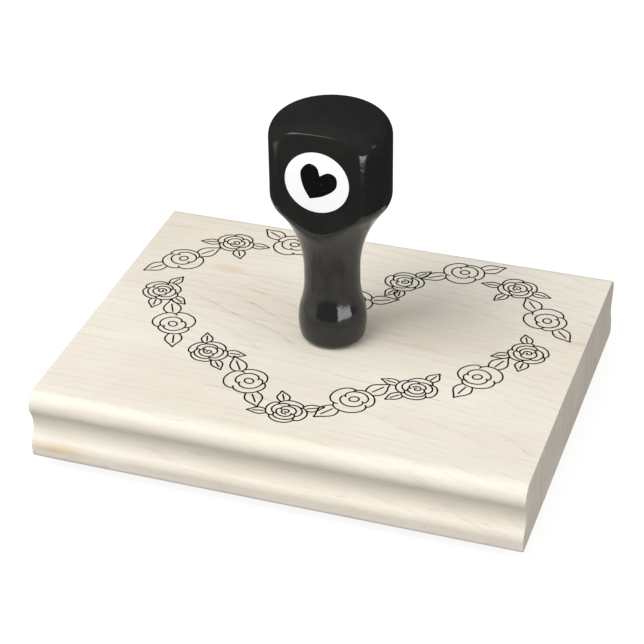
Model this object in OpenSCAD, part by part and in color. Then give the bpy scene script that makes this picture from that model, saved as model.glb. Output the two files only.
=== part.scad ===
// Hand stamp: a moulded maple block with a flower wreath, a cushioned rubber die
// beneath it and a lacquered turned handle that screws into the middle of its top.
// The origin is on the printing face, under the handle's axis. +Z is up, -Y is the
// front that the handle's flat faces, and X runs along the block.

/* [Block] */
// Length of the wooden block
block_l = 152.4; // [125:0.1:190]
// Width of the wooden block at its foot
block_w = 120; // [100:0.5:150]
// Thickness of the wooden block
block_t = 22.1; // [18:0.1:32]
// Radius of the rounded top edge of the long sides
top_arc = 4.5; // [3:0.1:5]
// How far the top bead stands back from the foot of the side
bead_in = 0.6; // [0.2:0.1:1.2]
// Depth of the cove along each long side
cove_d = 2.45; // [1.8:0.05:3.5]
// Radius of the bead along the foot of the side
base_arc = 4; // [2:0.1:4.5]
// Height of the foot bead's widest line
base_h = 4; // [3:0.1:5]
// Radius of the block's lower edges
base_round = 1.5; // [0.5:0.1:2]

/* [Printing side] */
// Height of the printing lines above the rubber sheet
relief_h = 1; // [0.6:0.1:1.6]
// Thickness of the rubber sheet
sheet_t = 1.2; // [0.8:0.1:2.5]
// Thickness of the foam cushion
foam_t = 1.6; // [1:0.1:5]
// Thickness of each adhesive film
film_t = 0.15; // [0.1:0.05:0.4]
// How far the cushion and the rubber stand in from the block's edges
die_inset = 5; // [4:0.5:10]
// Corner radius of the cushion and the rubber
die_corner = 4; // [1:0.5:10]

/* [Wreath] */
// Number of flowers round the heart
flowers = 18; // [12:2:20]
// Radius of a flower's outer ring
flower_r = 5.5; // [4:0.1:6]
// Length of a leaf
leaf_l = 4.5; // [3:0.1:5]
// Width of a printing line
line_w = 0.5; // [0.4:0.05:0.8]
// Room between the wreath and the edge of the rubber
wreath_edge = 1.5; // [0.5:0.1:6]

/* [Handle] */
// Height of the handle above the block
handle_h = 77.1; // [72:0.1:95]
// Radius of the handle's head
head_r = 18.3; // [16:0.1:21]
// Distance from the axis to the flat on the head's front
flat_d = 12.9; // [11.5:0.1:14.5]
// Radius of the neck
neck_r = 8.6; // [7:0.1:9.6]
// Height of the neck's narrowest ring above the block
neck_h = 24; // [20:0.5:28]
// Radius of the bulge above the foot
foot_r = 10.6; // [10.2:0.1:12]
// Height of the bulge's widest ring above the block
foot_h = 6.5; // [5:0.1:8]
// Radius of the curve that the bulge is turned to
foot_arc = 22; // [18:0.5:26]
// Radius of the foot's lower edge
foot_round = 2.6; // [1.5:0.1:3.5]
// Radius of the hollow curve from the neck to the head
flare_arc = 36.5; // [30:0.5:40]
// Radius of the curve under the head
low_arc = 6; // [4:0.1:8]
// Radius of the head's top edge
shoulder_arc = 6.4; // [4:0.1:8]
// Radius of the head's crown
crown_arc = 56; // [40:1:80]

/* [Fixing] */
// Outside diameter of the bolt's thread
bolt_d = 6.35; // [5:0.05:8]
// How deep the bolt's wood thread bites into the wall of its hole
thread_bite = 0.175; // [0.1:0.025:0.3]
// Length of the wood thread in the handle
wood_l = 20; // [12:0.5:28]
// Gap between the bolt's lower end and the block's underside
bolt_gap = 1; // [0.5:0.1:3]
// Gap between the bolt's thread and the nut's bore, on the radius
bolt_clear = 0.05; // [0.02:0.01:0.1]
// Wall of the nut's barrel
barrel_wall = 0.75; // [0.6:0.05:1.5]
// Length of the nut's barrel
barrel_l = 10; // [7:0.5:12]
// Gap between the nut's barrel and its hole, on the radius
barrel_clear = 0.05; // [0.02:0.01:0.2]
// Width of the nut's flange round its barrel
flange_w = 5.5; // [5:0.1:8]
// Thickness of the nut's flange
flange_t = 1.2; // [0.8:0.1:2]
// Length of the nut's prongs
prong_l = 5; // [3:0.5:7]
// Width of the washer's ring under the foot
washer_w = 2.25; // [1.5:0.05:2.6]
// Thickness of the washer under the foot
washer_t = 0.8; // [0.5:0.1:1.5]
// Gap between the washer's rim and its recess, on the radius
washer_clear = 0.2; // [0.1:0.05:0.4]

/* [Label] */
// Room between the round label and the sides of the head's flat
label_edge = 3.2; // [1:0.1:6]
// Thickness of the round label
label_t = 0.15; // [0.1:0.05:0.3]

/* [Hidden] */

// Segments in a drawn arc and in a small rounding, and the smoothness of a round solid
ARC_STEPS = 14;
SMALL_STEPS = 6;
ROUND = 96;

// Degrees between the end of an arc and the first point of the arc that follows it
NEXT_ARC = 2;

// How far a cut runs on past the face that it opens, and a length too short to see
RUN_ON = 1;
HAIR = 0.001;

// Levels of the layers, from the printing face upwards
sheet_z = relief_h;
lower_film_z = sheet_z + sheet_t;
foam_z = lower_film_z + film_t;
upper_film_z = foam_z + foam_t;
block_z = upper_film_z + film_t;
top_z = block_z + block_t;
die_l = block_l - 2 * die_inset;
die_w = block_w - 2 * die_inset;

// What the bolt passes through is bored to its thread
bore_r = bolt_d / 2 + bolt_clear;
pilot_r = bolt_d / 2 - thread_bite;
barrel_r = bore_r + barrel_wall;
flange_r = barrel_r + flange_w;
washer_r = bore_r + washer_w;

// The nut's four prongs stand on one circle, halfway between the barrel and the rim
PRONGS = 4;
PRONG_W = 3;
prong_r = (barrel_r + flange_r) / 2;

// Chamfer at the bolt's lower end, and length of its point in the handle
BOLT_LEAD = 0.6;
BOLT_POINT = 1.5;

// A flower's rings as shares of its radius, and a leaf's lean from the wreath, the
// radius of its sides and how far it reaches past the flower, as shares of its length
FLOWER_RINGS = [1, 0.62, 0.28];
LEAF_LEAN = 28;
LEAF_BOW = 0.9;
LEAF_REACH = 0.7;

// Half of the heart, as two curves, in shares of its half width and half height
HEART = [[[0, -0.9], [1.05, 0], [1, -0.12], [1, 0.56]],
         [[1, 0.56], [1, 0.56], [0.61, 1.58], [0, 0.41]]];
HEART_TOP = 0.99;
HEART_STEPS = 60;
heart_x = die_l / 2 - wreath_edge - flower_r - LEAF_REACH * leaf_l;
heart_y = (die_w / 2 - wreath_edge - flower_r) / HEART_TOP;

// Points along an arc about a centre, from one angle to another
function arc(centre, r, from, to, steps = ARC_STEPS) =
    [for (i = [0:steps]) centre + r * [cos(from + (to - from) * i / steps),
                                       sin(from + (to - from) * i / steps)]];

// Sum of the two radii of an S curve between upright lines that are rise apart
// in height and step apart sideways
function s_radii(rise, step) = (rise * rise + step * step) / (2 * step);

// Where the centre line of an S curve leans, measured from the horizontal
function s_lean(rise, step) = atan2(rise, s_radii(rise, step) - step);

// ---- Block ----

// Right-hand side of the block's section, from the foot up, as [across, up] points
function side_outline() =
    let (half = block_w / 2,
         top_h = block_t - top_arc,
         cove_h = (base_h + top_h) / 2,
         low_rise = cove_h - base_h,
         low_cove = s_radii(low_rise, cove_d) - base_arc,
         low_lean = s_lean(low_rise, cove_d),
         high_step = cove_d - bead_in,
         high_rise = top_h - cove_h,
         high_cove = s_radii(high_rise, high_step) - top_arc,
         high_lean = s_lean(high_rise, high_step),
         cove_x = half - cove_d)
    concat(arc([half - base_round, base_round], base_round, -90, 0, SMALL_STEPS),
           arc([half - base_arc, base_h], base_arc, 0, low_lean),
           arc([cove_x + low_cove, cove_h], low_cove, 180 + low_lean, 180),
           arc([cove_x + high_cove, cove_h], high_cove, 180 - NEXT_ARC, 180 - high_lean),
           arc([half - bead_in - top_arc, top_h], top_arc, -high_lean, 90));

function mirrored(points) =
    [for (i = [len(points) - 1:-1:0]) [-points[i][0], points[i][1]]];

module prongs() {
    for (i = [0:PRONGS - 1])
        rotate([0, 0, 360 / PRONGS * (i + 0.5)])
            translate([prong_r - flange_t / 2, -PRONG_W / 2, 0])
                cube([flange_t, PRONG_W, flange_t + prong_l]);
}

module wood_block() {
    color("wheat")
        difference() {
            translate([-block_l / 2, 0, block_z])
                rotate([90, 0, 90])
                    linear_extrude(height = block_l)
                        polygon(concat(side_outline(), mirrored(side_outline())));
            translate([0, 0, block_z - RUN_ON])
                cylinder(r = barrel_r + barrel_clear, h = block_t + 2 * RUN_ON, $fn = ROUND);
            translate([0, 0, block_z - RUN_ON])
                cylinder(r = flange_r + barrel_clear, h = flange_t + RUN_ON, $fn = ROUND);
            translate([0, 0, block_z])
                prongs();
        }
}

// ---- Nut ----

module threaded_nut() {
    color("silver")
        translate([0, 0, block_z])
            difference() {
                union() {
                    cylinder(r = flange_r, h = flange_t, $fn = ROUND);
                    cylinder(r = barrel_r, h = barrel_l, $fn = ROUND);
                    prongs();
                }
                translate([0, 0, -RUN_ON])
                    cylinder(r = bore_r, h = barrel_l + 2 * RUN_ON, $fn = ROUND);
            }
}

// ---- Layers ----

module layer(thickness) {
    r = die_corner;
    linear_extrude(height = thickness)
        union() {
            square([die_l - 2 * r, die_w], center = true);
            square([die_l, die_w - 2 * r], center = true);
            for (x = [-1, 1], y = [-1, 1])
                translate([x * (die_l / 2 - r), y * (die_w / 2 - r)])
                    circle(r = r, $fn = ROUND);
        }
}

module upper_film() {
    color("ivory")
        translate([0, 0, upper_film_z])
            layer(film_t);
}

module foam_cushion() {
    color("dimgray")
        translate([0, 0, foam_z])
            layer(foam_t);
}

module lower_film() {
    color("ivory")
        translate([0, 0, lower_film_z])
            layer(film_t);
}

// ---- Wreath ----

function bezier(p, t) =
    pow(1 - t, 3) * p[0] + 3 * pow(1 - t, 2) * t * p[1]
    + 3 * (1 - t) * t * t * p[2] + pow(t, 3) * p[3];

function heart_points() =
    [for (curve = HEART, i = [0:HEART_STEPS - 1])
        let (p = bezier(curve, i / HEART_STEPS))
        [p[0] * heart_x, p[1] * heart_y]];

function lengths(points) =
    [for (i = 0, s = 0; i < len(points);
          s = s + (i + 1 < len(points) ? norm(points[i + 1] - points[i]) : 0), i = i + 1) s];

// The point at a distance along a line of points, given the lengths up to each
function along(points, sums, s) =
    let (i = min(len([for (v = sums) if (v <= s) v]), len(points) - 1),
         t = (s - sums[i - 1]) / (sums[i] - sums[i - 1]))
    points[i - 1] + (points[i] - points[i - 1]) * t;

// Centres of the flowers on the right half of the heart, from the tip to the dip
function half_wreath() =
    let (tail = [[0, HEART[1][3][1] * heart_y]],
         points = concat(heart_points(), tail),
         sums = lengths(points),
         whole = sums[len(sums) - 1],
         steps = flowers / 2)
    [for (i = [0:steps]) along(points, sums, min(whole * i / steps, whole - HAIR))];

module ring(r) {
    difference() {
        circle(r = r, $fn = ROUND);
        circle(r = r - line_w, $fn = ROUND);
    }
}

// A pointed leaf drawn in outline, from its stalk along +X
module leaf_outline() {
    bow = LEAF_BOW * leaf_l;
    sink = sqrt(bow * bow - leaf_l * leaf_l / 4);
    difference() {
        intersection() {
            translate([leaf_l / 2, sink])
                circle(r = bow, $fn = ROUND);
            translate([leaf_l / 2, -sink])
                circle(r = bow, $fn = ROUND);
        }
        intersection() {
            translate([leaf_l / 2, sink])
                circle(r = bow - line_w, $fn = ROUND);
            translate([leaf_l / 2, -sink])
                circle(r = bow - line_w, $fn = ROUND);
        }
    }
}

// Which way the wreath runs past each flower of the right half
function half_turns(centres) =
    let (last = len(centres) - 1)
    [for (i = [0:last])
        let (run = centres[min(i + 1, last)] - centres[max(i - 1, 0)])
        i == 0 || i == last ? 0 : atan2(run[1], run[0])];

// One flower, with its two leaves lying along the wreath
module flower(turn) {
    rooted = relief_h + sheet_t / 2;
    for (share = FLOWER_RINGS)
        linear_extrude(height = rooted)
            ring(share * flower_r);
    for (side = [LEAF_LEAN, 180 + LEAF_LEAN])
        rotate([0, 0, turn + side])
            translate([flower_r - line_w / 2, 0, 0])
                linear_extrude(height = rooted)
                    leaf_outline();
}

module rubber_die() {
    centres = half_wreath();
    turns = half_turns(centres);
    color("indianred")
        union() {
            translate([0, 0, sheet_z])
                layer(sheet_t);
            for (i = [0:flowers / 2])
                translate(centres[i])
                    flower(turns[i]);
            for (i = [1:flowers / 2 - 1])
                translate([-centres[i][0], centres[i][1]])
                    flower(180 - turns[i]);
        }
}

// ---- Handle ----

// Centre of the curve under the head, as [radius, height above the block]
function low_centre() =
    let (run = neck_r + flare_arc - head_r + low_arc)
    [head_r - low_arc, neck_h + sqrt(pow(flare_arc + low_arc, 2) - run * run)];

// Centre of the head's top edge, which runs on smoothly into the crown
function shoulder_centre() =
    let (run = head_r - shoulder_arc)
    [run, handle_h - crown_arc + sqrt(pow(crown_arc - shoulder_arc, 2) - run * run)];

// Half section of the turned handle, as [radius, height above the block] points
function handle_outline() =
    let (bulge = [foot_r - foot_arc, foot_h],
         edge_r = foot_arc - foot_round,
         edge_drop = foot_h - foot_round,
         edge = bulge + [sqrt(edge_r * edge_r - edge_drop * edge_drop), -edge_drop],
         edge_lean = -asin(edge_drop / edge_r),
         neck_rise = neck_h - foot_h,
         neck_step = foot_r - neck_r,
         neck_lean = s_lean(neck_rise, neck_step),
         neck_arc = s_radii(neck_rise, neck_step) - foot_arc,
         flare = [neck_r + flare_arc, neck_h],
         low = low_centre(),
         low_lean = asin((low[1] - neck_h) / (flare_arc + low_arc)),
         shoulder = shoulder_centre(),
         crown = [0, handle_h - crown_arc],
         crown_lean = acos(shoulder[0] / (crown_arc - shoulder_arc)))
    concat([[0, 0]],
           arc(edge, foot_round, -90, edge_lean, SMALL_STEPS),
           arc(bulge, foot_arc, edge_lean + NEXT_ARC, neck_lean),
           arc([neck_r + neck_arc, neck_h], neck_arc, 180 + neck_lean - NEXT_ARC, 180),
           arc(flare, flare_arc, 180 - NEXT_ARC, 180 - low_lean),
           arc(low, low_arc, NEXT_ARC - low_lean, 0),
           arc(shoulder, shoulder_arc, 0, crown_lean),
           arc(crown, crown_arc, crown_lean + NEXT_ARC, 90));

module handle() {
    color([0.07, 0.07, 0.08])
        translate([0, 0, top_z])
            difference() {
                rotate_extrude($fn = ROUND)
                    polygon(handle_outline());
                translate([-head_r, -2 * head_r, neck_h])
                    cube([2 * head_r, 2 * head_r - flat_d, handle_h]);
                translate([0, 0, -RUN_ON])
                    cylinder(r = washer_r + washer_clear, h = washer_t + RUN_ON, $fn = ROUND);
                translate([0, 0, -RUN_ON])
                    cylinder(r = pilot_r, h = wood_l + 2 * RUN_ON, $fn = ROUND);
            }
}

module hanger_bolt() {
    r = bolt_d / 2;
    whole = block_t - bolt_gap + wood_l;
    color("gainsboro")
        translate([0, 0, block_z + bolt_gap])
            rotate_extrude($fn = ROUND)
                polygon([[0, 0], [r - BOLT_LEAD, 0], [r, BOLT_LEAD],
                         [r, whole - BOLT_POINT], [r - BOLT_POINT, whole], [0, whole]]);
}

module foot_washer() {
    color([0.2, 0.2, 0.22])
        translate([0, 0, top_z])
            difference() {
                cylinder(r = washer_r, h = washer_t, $fn = ROUND);
                translate([0, 0, -RUN_ON])
                    cylinder(r = bore_r, h = washer_t + 2 * RUN_ON, $fn = ROUND);
            }
}

module label_disc() {
    flat_half = sqrt(head_r * head_r - flat_d * flat_d);
    middle = (low_centre()[1] + shoulder_centre()[1]) / 2;
    color("white")
        translate([0, -flat_d, top_z + middle])
            rotate([90, 0, 0])
                cylinder(r = flat_half - label_edge, h = label_t, $fn = ROUND);
}

wood_block();
threaded_nut();
upper_film();
foam_cushion();
lower_film();
rubber_die();
foot_washer();
handle();
hanger_bolt();
label_disc();
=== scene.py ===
"""Looks of a hand stamp: a moulded maple block that carries a wreath print, a cushioned
rubber die beneath it and a lacquered turned handle that screws into its top.

Sizes in the classes are in millimetres. Each finished mesh is in metres, in the frame of
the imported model.
"""

import logging
import math
import random
from dataclasses import dataclass, field, replace
from enum import Enum
from typing import Callable, Iterable, Optional, Sequence, Union

import bmesh
import bpy
from bmesh.types import BMEdge, BMesh, BMVert
from bpy.types import Node, NodeSocket, Object
from mathutils import Matrix, Vector
from mathutils.geometry import interpolate_bezier


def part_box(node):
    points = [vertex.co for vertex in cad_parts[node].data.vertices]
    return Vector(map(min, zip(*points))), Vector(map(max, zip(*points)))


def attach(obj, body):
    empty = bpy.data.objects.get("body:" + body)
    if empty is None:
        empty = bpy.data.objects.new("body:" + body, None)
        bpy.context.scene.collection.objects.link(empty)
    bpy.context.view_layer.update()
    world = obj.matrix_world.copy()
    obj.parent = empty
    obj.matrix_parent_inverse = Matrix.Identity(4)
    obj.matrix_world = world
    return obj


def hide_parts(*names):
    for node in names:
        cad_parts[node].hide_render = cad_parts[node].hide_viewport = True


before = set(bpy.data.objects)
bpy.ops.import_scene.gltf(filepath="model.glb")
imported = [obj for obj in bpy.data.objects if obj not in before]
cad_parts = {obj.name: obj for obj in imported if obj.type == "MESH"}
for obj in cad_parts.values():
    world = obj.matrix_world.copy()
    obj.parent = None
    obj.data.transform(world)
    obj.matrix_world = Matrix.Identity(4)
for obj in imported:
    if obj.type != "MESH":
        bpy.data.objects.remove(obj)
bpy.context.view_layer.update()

log = logging.getLogger("hand_stamp")

MM = 0.001
ACROSS = Vector((1, 0, 0))
DEEP = Vector((0, 1, 0))
UP = Vector((0, 0, 1))
MERGE = 0.0005
NEAR = 0.005
CREASE = math.radians(32)

Colour = tuple[float, float, float]
Pair = tuple[float, float]


class Body(Enum):
    """Bodies of the stamp that move as one."""

    MOUNT = "mount"
    WASHER = "washer"
    HANDLE = "handle_unit"


class Slot(Enum):
    """Material slots of the record."""

    MAPLE = "maple"
    INK = "index_ink"
    PLATED = "plated_steel"
    FILM = "adhesive_film"
    FOAM = "foam"
    DIE = "die_rubber"
    WASHER = "washer_rubber"
    LACQUER = "black_lacquer"
    BOLT = "bolt_steel"
    LABEL = "label"


def node_box(node: str) -> tuple[Vector, Vector]:
    """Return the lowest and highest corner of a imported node.

    Args:
        node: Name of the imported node.

    Returns:
        The two corners, in millimetres.
    """
    low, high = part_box(node)
    return low / MM, high / MM


# ---- Shader kit ----

Value = Union[float, "Wire"]


def operator(operation: str, swapped: bool = False) -> Callable[["Wire", Value], "Wire"]:
    """Return a method of Wire that adds a Math node.

    Args:
        operation: The node's operation.
        swapped: Whether the wire is the second value.

    Returns:
        The method.
    """
    def method(self: "Wire", other: Value) -> "Wire":
        """Return the operation's result."""
        values = (other, self) if swapped else (self, other)
        return self.kit.maths(operation, *values)
    return method


class Wire:
    """A socket that Python arithmetic extends with Math nodes."""

    def __init__(self, kit: "ShaderKit", socket: NodeSocket) -> None:
        self.kit = kit
        self.socket = socket

    __add__ = operator("ADD")
    __radd__ = operator("ADD", swapped=True)
    __sub__ = operator("SUBTRACT")
    __rsub__ = operator("SUBTRACT", swapped=True)
    __mul__ = operator("MULTIPLY")
    __rmul__ = operator("MULTIPLY", swapped=True)
    __truediv__ = operator("DIVIDE")
    __rtruediv__ = operator("DIVIDE", swapped=True)
    __pow__ = operator("POWER")

    def whole_part_dropped(self) -> "Wire":
        """Return what is left over the last whole number."""
        return self.kit.maths("FRACT", self)

    def eased(self, low: float, high: float) -> "Wire":
        """Return a smooth rise from 0 at low to 1 at high."""
        node = self.kit.node("ShaderNodeMapRange", {"interpolation_type": "SMOOTHSTEP"},
                             {"Value": self, "From Min": low, "From Max": high})
        return Wire(self.kit, node.outputs["Result"])


class ShaderKit:
    """The node tree of a material or a world, and the ways that a finish fills it."""

    def __init__(self, owner: Union[bpy.types.Material, bpy.types.World]) -> None:
        """Empty the owner's tree and add its coordinates, in millimetres."""
        owner.use_nodes = True
        self.tree = owner.node_tree
        self.tree.nodes.clear()
        self.found = self.node("ShaderNodeTexCoord").outputs
        scaled = self.node("ShaderNodeVectorMath", {"operation": "SCALE"},
                           {"Vector": self.found["Object"], "Scale": 1 / MM})
        self.place = scaled.outputs["Vector"]
        axes = self.node("ShaderNodeSeparateXYZ", sockets={"Vector": self.place})
        self.x, self.y, self.z = (Wire(self, out) for out in axes.outputs)

    def node(self, kind: str, settings: Optional[dict[str, object]] = None,
             sockets: Optional[dict[Union[str, int], object]] = None) -> Node:
        """Add any node.

        Args:
            kind: Node type.
            settings: Properties of the node, set before its sockets.
            sockets: Value or link of each input, by its name or number.

        Returns:
            The new node.
        """
        node = self.tree.nodes.new(kind)
        for name, value in (settings or {}).items():
            if name == "stops":
                self._stops(node, value)
            else:
                setattr(node, name, value)
        for key, value in (sockets or {}).items():
            source = value.socket if isinstance(value, Wire) else value
            if isinstance(source, NodeSocket):
                self.tree.links.new(source, node.inputs[key])
            else:
                node.inputs[key].default_value = source
        return node

    @staticmethod
    def _stops(node: Node, stops: Sequence[tuple[float, Colour]]) -> None:
        """Set the stops of a colour ramp, as positions with their colours."""
        ramp = node.color_ramp
        while len(ramp.elements) < len(stops):
            ramp.elements.new(1)
        for element, (position, colour) in zip(ramp.elements, stops):
            element.position = position
            element.color = (*colour, 1)

    def maths(self, operation: str, *values: Value) -> Wire:
        """Add a Math node.

        Args:
            operation: The node's operation.
            values: Wires or numbers for its inputs, in order.

        Returns:
            The node's result.
        """
        node = self.node("ShaderNodeMath", {"operation": operation}, dict(enumerate(values)))
        return Wire(self, node.outputs[0])

    def blend(self, share: Value, under: object, over: object, way: str = "MIX") -> Wire:
        """Blend two colours.

        Args:
            share: How much of the upper colour shows, from 0 to 1.
            under: The lower colour, or its wire.
            over: The upper colour, or its wire.
            way: Blend type of the Mix node.

        Returns:
            The blended colour.
        """
        colours = [c if isinstance(c, Wire) else (*c, 1) for c in (under, over)]
        node = self.node("ShaderNodeMix", {"data_type": "RGBA", "blend_type": way},
                         {0: share, 6: colours[0], 7: colours[1]})
        return Wire(self, node.outputs[2])

    def stretched(self, scale: Colour, shift: Colour = (0, 0, 0)) -> NodeSocket:
        """Return the place in millimetres times a scale on each axis, plus a shift."""
        node = self.node("ShaderNodeVectorMath", {"operation": "MULTIPLY_ADD"},
                         {0: self.place, 1: scale, 2: shift})
        return node.outputs["Vector"]

    def noise(self, scale: Colour, detail: float = 2, rough: float = 0.5,
              shift: Colour = (0, 0, 0)) -> Wire:
        """Return soft noise from 0 to 1, with so many waves to the millimetre on each axis."""
        node = self.node("ShaderNodeTexNoise", {},
                         {"Vector": self.stretched(scale, shift), "Scale": 1.0,
                          "Detail": detail, "Roughness": rough})
        return Wire(self, node.outputs[0])

    def cells(self, scale: Colour) -> Wire:
        """Return the distance within Voronoi cells, so many to the millimetre on each axis."""
        node = self.node("ShaderNodeTexVoronoi", {},
                         {"Vector": self.stretched(scale), "Scale": 1.0})
        return Wire(self, node.outputs["Distance"])

    def bump(self, height: Wire, distance: float, strength: float) -> NodeSocket:
        """Return a normal that a height from 0 to 1 raises by a distance in millimetres."""
        return self.node("ShaderNodeBump", {}, {"Height": height, "Distance": distance * MM,
                                                "Strength": strength}).outputs["Normal"]

    def surface(self, tone: object, rough: Value, sockets: dict[str, object]) -> None:
        """Add the shader and the output.

        Args:
            tone: Colour of the surface, or its wire.
            rough: Its roughness.
            sockets: Values or links of the shader's other sockets.
        """
        shader = self.node("ShaderNodeBsdfPrincipled", {},
                           {"Base Color": tone, "Roughness": rough, **sockets})
        self.node("ShaderNodeOutputMaterial", {}, {"Surface": shader.outputs["BSDF"]})


# ---- Finishes ----

@dataclass(frozen=True)
class Finish:
    """A surface finish that makes its material at its first use."""

    name: str

    def material(self) -> bpy.types.Material:
        """Return the finish's material."""
        found = bpy.data.materials.get(self.name)
        if found is None:
            found = bpy.data.materials.new(self.name)
            self.wire(ShaderKit(found))
        return found

    def wire(self, kit: ShaderKit) -> None:
        """Fill the material's node tree."""
        raise NotImplementedError


@dataclass(frozen=True)
class Maple(Finish):
    """Bare sanded maple, cut so that its rings stand upright across the block."""

    cream: Colour = (0.80, 0.735, 0.62)
    pale: Colour = (0.86, 0.81, 0.71)
    ring_line: Colour = (0.43, 0.35, 0.27)
    fleck: Colour = (0.50, 0.34, 0.24)
    rust: Colour = (0.72, 0.50, 0.34)
    gold: Colour = (0.78, 0.62, 0.36)
    ior: float = 1.45
    ring_gap: float = 3.6
    pith_y: float = 190
    pith_z: float = 15
    patches: tuple[tuple[Colour, Colour, float], ...] = (
        ((74, 17, 26), (7, 2.2, 4), 0.5),
        ((27, 0.5, 26), (10, 2.4, 4), 0.34),
        ((-44, 26.5, 26), (9, 3.6, 4), 0.36),
    )

    def rings(self, kit: ShaderKit) -> Wire:
        """Return the count of growth rings at each place in the log."""
        drift = kit.noise((0.011, 0.022, 0.05), 2, 0.45) - 0.5
        wander = kit.noise((0.03, 0.06, 0.10), 2, 0.5, (7, 3, 1)) - 0.5
        ripple = kit.noise((0.085, 0.5, 0.5), 2, 0.6, (1, 6, 3)) - 0.5
        out = (kit.y - self.pith_y) ** 2 + (kit.z - self.pith_z) ** 2
        radius = out ** 0.5
        slant = kit.x * 0.09 + kit.x * kit.x * 0.0008
        pace = kit.noise((0.0, 0.075, 0.0), 1, 0.5, (2, 0, 5)) - 0.5
        sway = drift * 7.5 + wander * 1.3 + ripple * 1.1 + pace * 12.0
        return (radius - slant + sway) / self.ring_gap

    def figure(self, kit: ShaderKit) -> tuple[Wire, Wire, Wire]:
        """Return the growth lines, the fibre streaks and the flecks, each from 0 to 1."""
        rings = self.rings(kit)
        along = kit.noise((0.055, 0.4, 0.4), 3, 0.6, (3, 1, 4)).eased(0.43, 0.63)
        year = rings.whole_part_dropped()
        edge_wood = (kit.y * kit.y).eased(2600, 3300)
        line = (year ** 13) * (along * 0.92 + 0.08) * (1 - edge_wood * 0.5)
        patchy = kit.noise((0.05, 0.5, 0.5), 2, 0.5, (6, 2, 9)).eased(0.45, 0.7)
        swirl = kit.noise((0.025, 0.035, 0.05), 2, 0.5, (4, 7, 2)) * 16
        wild = ((kit.y + kit.x * 0.34 + swirl) / 7.5 + 0.2).whole_part_dropped() ** 14
        wild = wild * self.spot(kit, (-20, 6, 26), (52, 30, 20)) * (along * 0.6 + 0.4)
        faint = ((rings * 3.37 + 0.4).whole_part_dropped() ** 8) * patchy * 0.55
        streak = kit.noise((0.05, 3.2, 3.2), 5, 0.68, (1, 2, 5))
        fleck = kit.noise((0.16, 2.4, 2.4), 1, 0.4, (5, 9, 2)).eased(0.67, 0.80)
        tone = year * year * 0.13
        return line + faint + tone + wild * 1.9, streak, fleck

    def spot(self, kit: ShaderKit, middle: Colour, reach: Colour) -> Wire:
        """Return a soft patch about a place, from 1 at its middle to 0 at its reach."""
        scale = tuple(1 / r for r in reach)
        shift = tuple(-m / r for m, r in zip(middle, reach))
        node = kit.node("ShaderNodeVectorMath", {"operation": "LENGTH"},
                        {0: kit.stretched(scale, shift)})
        rough_edge = (kit.noise((0.12, 0.9, 0.9), 3, 0.6) - 0.5) * 0.9
        return 1 - (Wire(kit, node.outputs["Value"]) + rough_edge).eased(0.1, 1.0)

    def wire(self, kit: ShaderKit) -> None:
        """Fill the tree for long grain."""
        lines, streak, fleck = self.figure(kit)
        broad = kit.noise((0.008, 0.03, 0.03), 2, 0.5, (2, 8, 3)).eased(0.3, 0.7)
        tone = kit.blend(broad, self.cream, self.pale)
        shimmer = kit.noise((0.06, 0.025, 0.025), 2, 0.5, (8, 8, 8)) - 0.5
        thread = kit.noise((0.09, 6.5, 6.5), 2, 0.6, (9, 4, 1)) - 0.5
        fibres = 1.0 + (streak - 0.5) * 0.17 + thread * 0.07 + shimmer * 0.07
        tone = kit.blend(1.0, tone, fibres, "MULTIPLY")
        tone = kit.blend(lines * 0.38, tone, self.ring_line)
        tone = kit.blend(fleck * 0.36, tone, self.fleck)
        for middle, reach, share in self.patches:
            tone = kit.blend(self.spot(kit, middle, reach) * share, tone, self.rust)
        tone = kit.blend(self.spot(kit, (-67, -60, 8.5), (13, 3.5, 2.4)) * 0.75, tone, self.gold)
        height = streak * 0.7 + (1 - lines) * 0.3
        kit.surface(tone, 0.52 + (streak - 0.5) * 0.2,
                    {"IOR": self.ior, "Specular IOR Level": 0.32,
                     "Normal": kit.bump(height, 0.02, 0.5)})


@dataclass(frozen=True)
class EndGrain(Maple):
    """Sawn and sanded end grain of the same log, darker and full of pores."""

    cream: Colour = (0.62, 0.565, 0.49)
    pale: Colour = (0.68, 0.63, 0.555)

    def wire(self, kit: ShaderKit) -> None:
        """Fill the tree for end grain."""
        rings = self.rings(kit)
        year = rings.whole_part_dropped()
        ray = kit.noise((0.5, 0.35, 3.4), 3, 0.55).eased(0.52, 0.72)
        pore = 1 - kit.cells((1.5, 3.6, 3.6)).eased(0.10, 0.34)
        broad = kit.noise((0.02, 0.07, 0.05), 3, 0.6, (4, 4, 4))
        tone = kit.blend(broad.eased(0.35, 0.65), self.cream, self.pale)
        tone = kit.blend((year ** 4) * 0.42, tone, self.ring_line)
        tone = kit.blend(ray * 0.22, tone, self.pale)
        tone = kit.blend(pore * 0.34, tone, self.ring_line)
        kit.surface(tone, 0.66 - ray * 0.1, {"IOR": self.ior, "Specular IOR Level": 0.25,
                                             "Normal": kit.bump(1 - pore, 0.04, 0.6)})


@dataclass(frozen=True)
class PrintedInk(Finish):
    """Black printing ink that lies a little thin over the grain."""

    full: Colour = (0.003, 0.003, 0.003)
    thin: Colour = (0.03, 0.027, 0.025)

    def wire(self, kit: ShaderKit) -> None:
        """Fill the tree."""
        starved = kit.noise((0.5, 4, 4), 3, 0.6).eased(0.55, 0.8)
        kit.surface(kit.blend(starved, self.full, self.thin), 0.6 + starved * 0.2,
                    {"Specular IOR Level": 0.1,
                     "Normal": kit.bump(kit.noise((1.5, 4, 4), 2), 0.01, 0.5)})


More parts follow.
